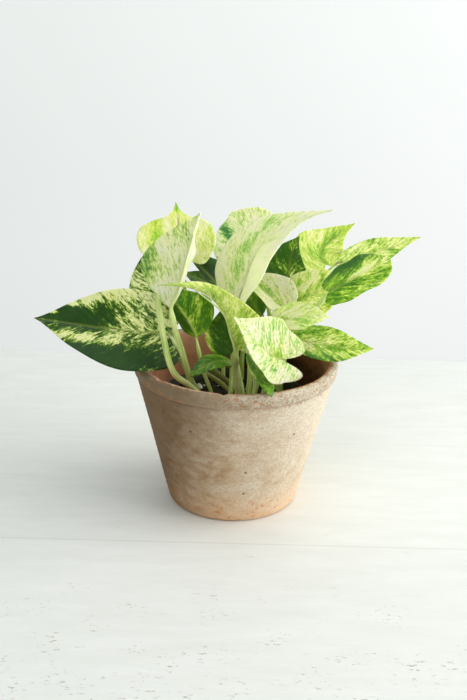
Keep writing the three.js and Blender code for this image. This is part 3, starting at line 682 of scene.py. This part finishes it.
# Terracotta pot
def terracotta_material():
    """Low-fired clay, aged and lime-washed: chalky, orange at the foot, specked, with a pale bloom above."""
    material, tree, shader = new_material("lime-washed terracotta")
    place = place_in_mm(tree)
    sideways, depth, height = node(tree, "SeparateXYZ", (place,)).node.outputs
    level = node(tree, "CombineXYZ", (sideways, depth))
    radius = node(tree, "VectorMath", (level,), out="Value", operation="LENGTH")
    # Of each noise: its features' size in mm, its detail, roughness and distortion
    broad, cloud, grit, sand, chipped, broken, torn = (
        node(tree, "TexNoise", {
            "Vector": node(tree, "VectorMath", (place, size), operation="DIVIDE"),
            "Scale": 1, "Detail": detail, "Roughness": rough, "Distortion": warp})
        for size, detail, rough, warp in (
            ((30, 30, 18), 3, 0.6, 0.6), ((7, 7, 4.5), 4, 0.65, 0.4), ((1.5, 1.5, 1.1), 2, 0.6, 0),
            ((0.55, 0.55, 0.55), 1, 0.5, 0), ((4.4, 4.4, 3), 2, 0.5, 0), ((6, 6, 6), 3, 0.7, 0),
            ((3.5, 3.5, 3.5), 3, 0.7, 0)))
    # Bare clay, tan to brown
    half_cloud = node(tree, "Math", (cloud, 0.5), operation="MULTIPLY")
    fired = node(tree, "Math", (broad, 0.5, half_cloud), operation="MULTIPLY_ADD")
    clay = node(tree, "ValToRGB", (fired,), stops=((0.34, "#b8946e"), (0.5, "#c9a781"), (0.66, "#d5b796")))
    # Lime bloom, thick on the collar and under it, thin towards the foot
    rise = node(tree, "MapRange", (height, 5, 92, -0.25, 0.42))
    patchy = node(tree, "Math", (cloud, 0.9, -1), operation="MULTIPLY_ADD")
    patchy = node(tree, "Math", (broad, 1.5, patchy), operation="MULTIPLY_ADD")
    # Painted light and shade: the wash is drawn thicker and paler on the right, where the window lights the
    # pot, and the left side, in shade, is drawn browner
    towards = node(tree, "Math", (cloud, 22, sideways), operation="MULTIPLY_ADD")
    towards = node(tree, "Math", (height, -0.2, towards), operation="MULTIPLY_ADD")
    painted_light_side = node(tree, "MapRange", (towards, -50, 46, -0.55, 0.6))
    thick = node(tree, "Math", (rise, patchy), operation="ADD")
    thick = node(tree, "Math", (thick, painted_light_side), operation="ADD")
    bloom = node(tree, "MapRange", (thick, -0.2, 1, 0.1, 0.9))
    wash = node(tree, "ValToRGB", (grit,), stops=((0.3, "#c6b9a3"), (0.5, "#dbd1be"), (0.7, "#e8e1d2")))
    coat = node(tree, "Mix", {0: bloom, 6: clay, 7: wash}, **COLOURS)
    # The damp foot is orange
    low = node(tree, "Math", (cloud, -22, height), operation="MULTIPLY_ADD")
    foot = node(tree, "MapRange", (low, -10, 14, 0.6, 0))
    coat = node(tree, "Mix", {0: foot, 6: coat, 7: "#ebc299"}, **COLOURS)
    # Painted shade: the pot's left side is drawn browner
    painted_shade_left = node(tree, "MapRange", (painted_light_side, 0.05, -0.45, 0, 0.84))
    coat = node(tree, "Mix", {0: painted_shade_left, 6: coat, 7: "#6b5237"}, **COLOURS)
    # Orange specks, where the wash has chipped off near the rim and foot
    near_foot = node(tree, "MapRange", (height, 14, 20, 1, 0))
    near_rim = node(tree, "MapRange", (height, 88, 92))
    ends = node(tree, "Math", (near_foot, near_rim), operation="MAXIMUM")
    specks = node(tree, "MapRange", (chipped, 0.61, 0.66))
    specks = node(tree, "Math", (specks, ends), operation="MULTIPLY")
    speckled = node(tree, "Math", (specks, 0.7), operation="MULTIPLY")
    coat = node(tree, "Mix", {0: speckled, 6: coat, 7: "#cf7a40"}, **COLOURS)
    # Grey grains stand out on the collar
    grains = node(tree, "Math", (cloud, 0.8, grit), operation="MULTIPLY_ADD")
    grains = node(tree, "MapRange", (grains, 1.02, 0.77, 0.2, 0.6))
    grains = node(tree, "Math", (near_rim, grains), operation="MULTIPLY")
    coat = node(tree, "Mix", {0: grains, 6: coat, 7: "#93836a"}, **COLOURS)
    # Painted shade: a broken, darker line of bare clay colour along the crease under the collar's lower edge
    above = node(tree, "MapRange", (height, 90.6, 91.1))
    below = node(tree, "MapRange", (height, 91.9, 91.5))
    line = node(tree, "Math", (above, below), operation="MULTIPLY")
    line = node(tree, "Math", (line, node(tree, "MapRange", (broken, 0.42, 0.52))), operation="MULTIPLY")
    line = node(tree, "Math", (line, 0.7), operation="MULTIPLY")
    coat = node(tree, "Mix", {0: line, 6: coat, 7: "#bd8355"}, **COLOURS)
    # Inside the mouth the clay is bare, and darker with depth; the edge of the wash on the rim is ragged
    ragged = node(tree, "Math", (torn, 6, -3), operation="MULTIPLY_ADD")
    ragged = node(tree, "Math", (radius, ragged), operation="ADD")
    slope = node(tree, "Math", (height, -0.29, ragged), operation="MULTIPLY_ADD")
    bare = node(tree, "MapRange", (slope, 36.4, 35.4))
    depths = node(tree, "Math", (cloud, 0.5, node(tree, "MapRange", (height, 82, 100, 0, 0.5))),
                  operation="MULTIPLY_ADD")
    damp = node(tree, "ValToRGB", (depths,), stops=((0.24, "#3f2413"), (0.5, "#784a30"), (0.8, "#b28162")))
    dry = node(tree, "ValToRGB", (depths,), stops=((0.2, "#c08468"), (0.6, "#dca088"), (0.8, "#e6b59c")))
    # Painted light and shade: the ramp named dry, pale pink, is drawn on the left of the inner wall, where
    # the window's light falls, and the ramp named damp, dark brown, on the right, which is in shade
    inner = node(tree, "Mix", {0: node(tree, "MapRange", (sideways, 8, -22)), 6: damp, 7: dry}, **COLOURS)
    coat = node(tree, "Mix", {0: bare, 6: coat, 7: inner}, **COLOURS)
    # Dark pits, up to 1.5 mm wide and about 14 mm apart
    pits = node(tree, "TexVoronoi", {"Vector": place, "Scale": 0.07, "Randomness": 1}, out="Distance")
    pits = node(tree, "MapRange", (pits, 0.07, 0.045))
    pitted = node(tree, "Math", (pits, 0.75), operation="MULTIPLY")
    coat = node(tree, "Mix", {0: pitted, 6: coat, 7: "#4a3526"}, **COLOURS)
    half_grit = node(tree, "Math", (grit, 0.5), operation="MULTIPLY")
    sandy = node(tree, "Math", (sand, 0.5, half_grit), operation="MULTIPLY_ADD")
    fine = node(tree, "ValToRGB", (sandy,), stops=((0.3, 0.4), (0.7, 0.6)))
    # The collar is rougher than the wall under it
    relief = node(tree, "Math", (cloud, 0.8), operation="MULTIPLY")
    relief = node(tree, "Math", (sand, 0.15, relief), operation="MULTIPLY_ADD")
    relief = node(tree, "Math", (grit, 0.7, relief), operation="MULTIPLY_ADD")
    coarse = node(tree, "Math", (near_rim, 1.4, 0.5), operation="MULTIPLY_ADD")
    relief = node(tree, "Math", (relief, coarse), operation="MULTIPLY")
    relief = node(tree, "Math", (specks, -0.4, relief), operation="MULTIPLY_ADD")
    relief = node(tree, "Math", (pits, -1.4, relief), operation="MULTIPLY_ADD")
    fill(shader, {
        "Base Color": node(tree, "Mix", {0: 0.3, 6: coat, 7: fine}, **COLOURS, blend_type="OVERLAY"),
        "Roughness": 0.88,
        "Specular IOR Level": 0.2,
        "Normal": node(tree, "Bump", {"Height": relief, "Strength": 0.6, "Distance": 0.5 * MM}),
    })
    return material


def plastic_material():
    """Thin vacuum-formed polypropylene: black, slightly dusty, semi-gloss."""
    material, tree, shader = new_material("black formed polypropylene")
    place = place_in_mm(tree)
    # Of each noise: its features' size in mm, its detail and its roughness
    dust, haze, texture = (
        node(tree, "TexNoise", {
            "Vector": node(tree, "VectorMath", (place, size), operation="DIVIDE"),
            "Scale": 1, "Detail": detail, "Roughness": rough})
        for size, detail, rough in (((9, 9, 5), 3, 0.7), ((4, 4, 4), 2, 0.55), ((0.8, 0.8, 0.8), 2, 0.55)))
    fill(shader, {
        "Base Color": node(tree, "ValToRGB", (dust,), stops=((0.4, "#151514"), (0.75, "#2f2c27"))),
        "Roughness": node(tree, "Math", (haze, 0.3, 0.3), operation="MULTIPLY_ADD"),
        "Normal": node(tree, "Bump", {"Height": texture, "Strength": 0.15, "Distance": 0.2 * MM}),
    })
    return material


def soil_material():
    """Damp peat mix: nearly black, fibrous, with paler dry tops."""
    material, tree, shader = new_material("damp peat mix")
    place = place_in_mm(tree)
    # Crumbs 1.6 mm across, and fibres half as wide
    crumbs, fibres = (
        node(tree, "TexNoise", {
            "Vector": node(tree, "VectorMath", (place, (size, size, size)), operation="DIVIDE"),
            "Scale": 1, "Detail": 4, "Roughness": 0.7})
        for size in (1.6, 0.7))
    fill(shader, {
        "Base Color": node(tree, "ValToRGB", (crumbs,), stops=((0.35, "#16110c"), (0.7, "#3d3226"))),
        "Roughness": 0.9,
        "Normal": node(tree, "Bump", {"Height": fibres, "Strength": 0.8, "Distance": 0.5 * MM}),
    })
    return material


def perlite_material():
    """Expanded volcanic glass: white, chalky, pitted about every 0.8 mm."""
    material, tree, shader = new_material("perlite")
    pitted = node(tree, "TexNoise", {
        "Vector": node(tree, "VectorMath", (place_in_mm(tree), (0.8, 0.8, 0.8)), operation="DIVIDE"),
        "Scale": 1, "Detail": 3, "Roughness": 0.7})
    fill(shader, {
        "Base Color": node(tree, "ValToRGB", (pitted,), stops=((0.3, "#b9b4a4"), (0.6, "#eceae2"))),
        "Roughness": 0.85,
    })
    return material


def turned(profile, steps, closed=True):
    """A bmesh turned round the upright axis from (radius, height) points."""
    bm = bmesh.new()
    verts = [bm.verts.new((radius, 0, height)) for radius, height in profile]
    edges = [bm.edges.new(pair) for pair in zip(verts, verts[1:] + verts[:1] if closed else verts[1:])]
    bmesh.ops.spin(bm, geom=verts + edges, cent=(0, 0, 0), axis=(0, 0, 1), angle=2 * math.pi, steps=steps,
                   use_merge=True)
    bmesh.ops.remove_doubles(bm, verts=bm.verts[:], dist=0.01)
    bmesh.ops.recalc_face_normals(bm, faces=bm.faces[:])
    return bm


def resample(profile, spacing, closed=True):
    """The profile with points at most `spacing` apart."""
    fine = []
    for (r0, z0), (r1, z1) in zip(profile, profile[1:] + profile[:1] if closed else profile[1:]):
        parts = max(1, round(math.hypot(r1 - r0, z1 - z0) / spacing))
        fine += [(r0 + (r1 - r0) * k / parts, z0 + (z1 - z0) * k / parts) for k in range(parts)]
    return fine if closed else fine + [profile[-1]]


# The CAD pot's section, with its edges worn round
POT_PROFILE = [
    (7, 0.6), (7.6, 0), (42.4, 0), (43.6, 0.4), (44.6, 1.6),
    (66.1, 89.6), (65.7, 90.3), (65.9, 90.9), (66.9, 91.3), (67.5, 92.2),
    (68.7, 97.6), (68.5, 99.0), (67.8, 99.8), (66.8, 100), (64.4, 100), (63.2, 99.8), (62.3, 99.0),
    (61.7, 97.5), (54, 70), (38.6, 10.5), (37.6, 9.2), (36, 9), (7.6, 9), (7, 8.4),
]
POT_HEIGHT = 100
COLLAR_FOOT = 90
FLOOR_TOP = 9
FLOOR_RADIUS = 38.7
# The base is flat up to here, and the rim chips from here up
FLAT_UP_TO = 4
CHIPS_FROM = 96.5


def weather_pot(bm):
    """Hand-thrown unevenness, faint turning ridges, and small chips along the rim."""
    bm.normal_update()
    moves = {}
    for vert in bm.verts:
        x, y, z = vert.co
        angle = math.atan2(y, x)
        outward = Vector((math.cos(angle), math.sin(angle), 0))
        height = noise.noise(Vector((x, y, z)) / 34) * 0.25
        if z < COLLAR_FOOT:
            wander = noise.noise(outward + Vector((0, 0, z / 30)))
            height += 0.09 * math.sin(z * 1.5 + 1.2 * wander)
        height += noise.fractal(Vector((x, y, z)) / 3.2, 1.0, 2.0, 3) * 0.05
        if z > CHIPS_FROM:
            chip = noise.noise(outward * 13 + Vector((0, 0, 4.2)))
            height -= max(0, chip - 0.24) * 2.4 * (z - CHIPS_FROM) / (POT_HEIGHT - CHIPS_FROM)
        # The base and the floor stay flat
        if z < FLAT_UP_TO or (abs(z - FLOOR_TOP) < 1 and math.hypot(x, y) < FLOOR_RADIUS):
            height *= 0.2
        moves[vert] = height
    for vert, height in moves.items():
        vert.co += vert.normal * height
        vert.co.z = max(vert.co.z, 0)


pot = turned(resample(POT_PROFILE, spacing=1.6), steps=176)
weather_pot(pot)
piece("terracotta_pot_aged", pot, [terracotta_material()], "terracotta_pot")


# Nursery pot
LINER_PROFILE = [
    (0, 9.3), (30.5, 9.3), (32.6, 9.7), (33.7, 10.6), (48.6, 67.6), (49.2, 68.2), (51.0, 69.2), (51.4, 69.8),
    (51.4, 71.6), (51.1, 72), (50.1, 72), (49.8, 71.4), (49.2, 70.2), (47.3, 68), (32.2, 11.6), (31.2, 10.8),
    (0, 10.6),
]
LINER_FLOOR_TOP = 11.4
DRAIN_HOLES = 6
DRAIN_RING = 22
DRAIN_RADIUS = 3.4


def nursery_pot():
    """A thin pot whose drain holes are faces taken out of both sides of its floor, joined by short walls."""
    bm = turned(resample(LINER_PROFILE, spacing=2.4, closed=False), steps=132, closed=False)
    for k in range(DRAIN_HOLES):
        angle = 2 * math.pi * k / DRAIN_HOLES
        centre = Vector((DRAIN_RING * math.cos(angle), DRAIN_RING * math.sin(angle)))
        middles = [(face, face.calc_center_median()) for face in bm.faces]
        hole = [face for face, middle in middles
                if middle.z < LINER_FLOOR_TOP and (middle.xy - centre).length < DRAIN_RADIUS]
        bmesh.ops.delete(bm, geom=hole, context="FACES")
    rims = [edge for edge in bm.edges if edge.is_boundary]
    bmesh.ops.bridge_loops(bm, edges=rims, use_pairs=True)
    return bm


piece("nursery_pot_formed", nursery_pot(), [plastic_material()], "nursery_pot")


# Potting mix
SOIL_HEIGHT = 66
SOIL_RADIUS = 45.9
SOIL_RINGS = 36
CRUMBS = 420
CRUMBS_WITHIN = 44.5
PERLITE_EVERY = 12


def lump(bm, centre, size, seed, detail, material):
    """One crumb, stretched and dented, at centre."""
    made = bmesh.ops.create_icosphere(bm, subdivisions=detail, radius=size)
    rng = random.Random(seed)
    turn = Matrix.Rotation(rng.uniform(0, 3), 4, "X") @ Matrix.Rotation(rng.uniform(0, 3), 4, "Z")
    stretch = Vector((rng.uniform(0.7, 1.3), rng.uniform(0.7, 1.2), rng.uniform(0.6, 1.0)))
    for vert in made["verts"]:
        vert.co = Vector(a * b for a, b in zip(vert.co, stretch))
        vert.co *= 1 + 0.35 * noise.noise(vert.co / size * 1.3 + Vector((seed, 0, 0)))
        vert.co = turn @ vert.co + centre
    for face in {face for vert in made["verts"] for face in vert.link_faces}:
        face.material_index = material


def potting_mix():
    """A filled body with an uneven top, and loose crumbs of peat and perlite on it."""
    profile = [(0, 10.9), (31.8, 10.9), (46.2, 65), (SOIL_RADIUS, SOIL_HEIGHT)]
    profile += [(SOIL_RADIUS * k / SOIL_RINGS, SOIL_HEIGHT) for k in range(SOIL_RINGS - 1, -1, -1)]
    bm = turned(profile, steps=120, closed=False)
    for vert in bm.verts:
        if vert.co.z > SOIL_HEIGHT - 0.5:
            flat = Vector((vert.co.x, vert.co.y, 0))
            edge = min(1, (SOIL_RADIUS - flat.length) / 3)
            vert.co.z += edge * (0.6 + 1.5 * noise.fractal(flat / 8, 1.0, 2.0, 4))
    rng = random.Random(11)
    for k in range(CRUMBS):
        angle, radius = rng.uniform(0, 2 * math.pi), CRUMBS_WITHIN * math.sqrt(rng.random())
        perlite = k % PERLITE_EVERY == 0
        size = rng.uniform(0.9, 1.9) if perlite else rng.uniform(0.5, 1.7)
        height = SOIL_HEIGHT + rng.uniform(0.4, 1.6)
        centre = Vector((radius * math.cos(angle), radius * math.sin(angle), height))
        if centre.xy.length + size > SOIL_RADIUS - 0.7:
            continue
        lump(bm, centre, size, seed=k, detail=2 if perlite else 1, material=1 if perlite else 0)
    return bm


mix_materials = [soil_material(), perlite_material()]
piece("potting_mix_surface", potting_mix(), mix_materials, "potting_mix")


# Stage and light: a white painted table, a white wall behind it, daylight from a large window at the right
BOARD_WIDTH = 150
# How far in front of the pot's axis the nearest seam runs
SEAM_AT = 71
# How strongly the wall glows: painted light standing in for the daylit room
WALL_GLOW = 0.68


def table_material():
    """Old white paint on boards: faint brushed streaks, thin seams, and chips that show grey wood."""
    material, tree, shader = new_material("white painted boards")
    place = place_in_mm(tree)
    depth = node(tree, "SeparateXYZ", (place,), out="Y")
    # Of each noise: its features' size in mm, its detail, roughness and distortion
    brushed, wear, flakes = (
        node(tree, "TexNoise", {
            "Vector": node(tree, "VectorMath", (place, size), operation="DIVIDE"),
            "Scale": 1, "Detail": detail, "Roughness": rough, "Distortion": warp})
        for size, detail, rough, warp in (
            ((60, 12, 12), 5, 0.7, 0.3), ((28, 22, 20), 3, 0.55, 0), ((5.5, 1.8, 2), 4, 0.75, 0)))
    paint = node(tree, "ValToRGB", (brushed,), stops=((0.3, "#e2e5e0"), (0.7, "#ebedea")))
    # A seam where a board's middle is half a board away; paint fills it further back. Twenty boards more
    # keep the number that is divided above zero
    across = node(tree, "Math", (depth, SEAM_AT + 20 * BOARD_WIDTH), operation="ADD")
    across = node(tree, "Math", (across, BOARD_WIDTH), operation="MODULO")
    across = node(tree, "Math", (across, -BOARD_WIDTH / 2), operation="ADD")
    from_middle = node(tree, "Math", (across,), operation="ABSOLUTE")
    seam = node(tree, "MapRange", (from_middle, BOARD_WIDTH / 2 - 1.1, BOARD_WIDTH / 2 - 0.3))
    open_seam = node(tree, "MapRange", (depth, -70, 60, 0.3, 0.08))
    seam = node(tree, "Math", (seam, open_seam), operation="MULTIPLY")
    coat = node(tree, "Mix", {0: seam, 6: paint, 7: "#b9b8ae"}, **COLOURS)
    # The paint is worn through in places, mostly towards the front edge
    near = node(tree, "MapRange", (depth, -60, -230, -0.14, 0.1))
    worn = node(tree, "MapRange", (node(tree, "Math", (wear, near), operation="ADD"), 0.5, 0.62))
    chips = node(tree, "MapRange", (flakes, 0.6, 0.64))
    chips = node(tree, "Math", (chips, worn), operation="MULTIPLY")
    chips = node(tree, "Math", (chips, 0.75), operation="MULTIPLY")
    fill(shader, {
        "Base Color": node(tree, "Mix", {0: chips, 6: coat, 7: "#97897a"}, **COLOURS),
        "Roughness": 0.6,
    })
    return material


def wall_material():
    """Matt white plaster far behind the table, made to glow as painted light: brighter to the right and
    lower down, a little darker at the left.
    """
    material, tree, shader = new_material("matt white wall")
    sideways, _, height = node(tree, "SeparateXYZ", (place_in_mm(tree),)).node.outputs
    # Painted light: the glow is stronger to the right and lower down
    lit = node(tree, "Math", (height, -0.6, sideways), operation="MULTIPLY_ADD")
    lit = node(tree, "MapRange", (lit, -500, 450))
    fill(shader, {
        "Base Color": "#a9adac",
        "Roughness": 1,
        "Emission Color": node(tree, "ValToRGB", (lit,), stops=((0, "#eff3f1"), (1, "#fbfdfc"))),
        "Emission Strength": WALL_GLOW,
    })
    return material


def stage_plane(name, centre, size, material, upright=False):
    bm = bmesh.new()
    bmesh.ops.create_grid(bm, x_segments=1, y_segments=1, size=0.5)
    turn = Matrix.Rotation(math.radians(90), 4, "X") if upright else Matrix.Identity(4)
    bmesh.ops.scale(bm, vec=(size[0], size[1], 1), verts=bm.verts[:])
    bmesh.ops.transform(bm, matrix=Matrix.Translation(centre) @ turn, verts=bm.verts[:])
    mesh = bpy.data.meshes.new(name)
    bm.to_mesh(mesh)
    bm.free()
    mesh.materials.append(material)
    obj = bpy.data.objects.new(name, mesh)
    bpy.context.collection.objects.link(obj)


stage_plane("table", (0, -1.735, -0.0002), (6, 4), table_material())
stage_plane("wall", (0, 1.2, 0.4), (8, 4.5), wall_material(), upright=True)


def add_light(name, place, target, size, power, tint):
    data = bpy.data.lights.new(name, "AREA")
    data.shape = "RECTANGLE"
    data.size, data.size_y = size
    data.energy = power
    data.color = colour(tint)[:3]
    lamp = bpy.data.objects.new(name, data)
    lamp.location = place
    lamp.rotation_mode = "QUATERNION"
    lamp.rotation_quaternion = (Vector(target) - Vector(place)).to_track_quat("-Z", "Y")
    bpy.context.collection.objects.link(lamp)


add_light("window", (1.5, -0.1, 0.66), (0, 0, 0.1), (1.7, 1.1), 30, "#fffdf8")
add_light("overhead", (0, -0.3, 1.9), (0, 0, 0.1), (1.9, 1.7), 17, "#fafdff")
add_light("front_fill", (-0.45, -1.35, 0.75), (0, 0, 0.12), (1.2, 0.9), 5.5, "#fffefa")

world = bpy.data.worlds.new("daylit room")
world.use_nodes = True
world.node_tree.nodes["Background"].inputs["Color"].default_value = colour("#eef4f6")
world.node_tree.nodes["Background"].inputs["Strength"].default_value = 0.1
bpy.context.scene.world = world
bpy.context.scene.view_settings.view_transform = "Standard"
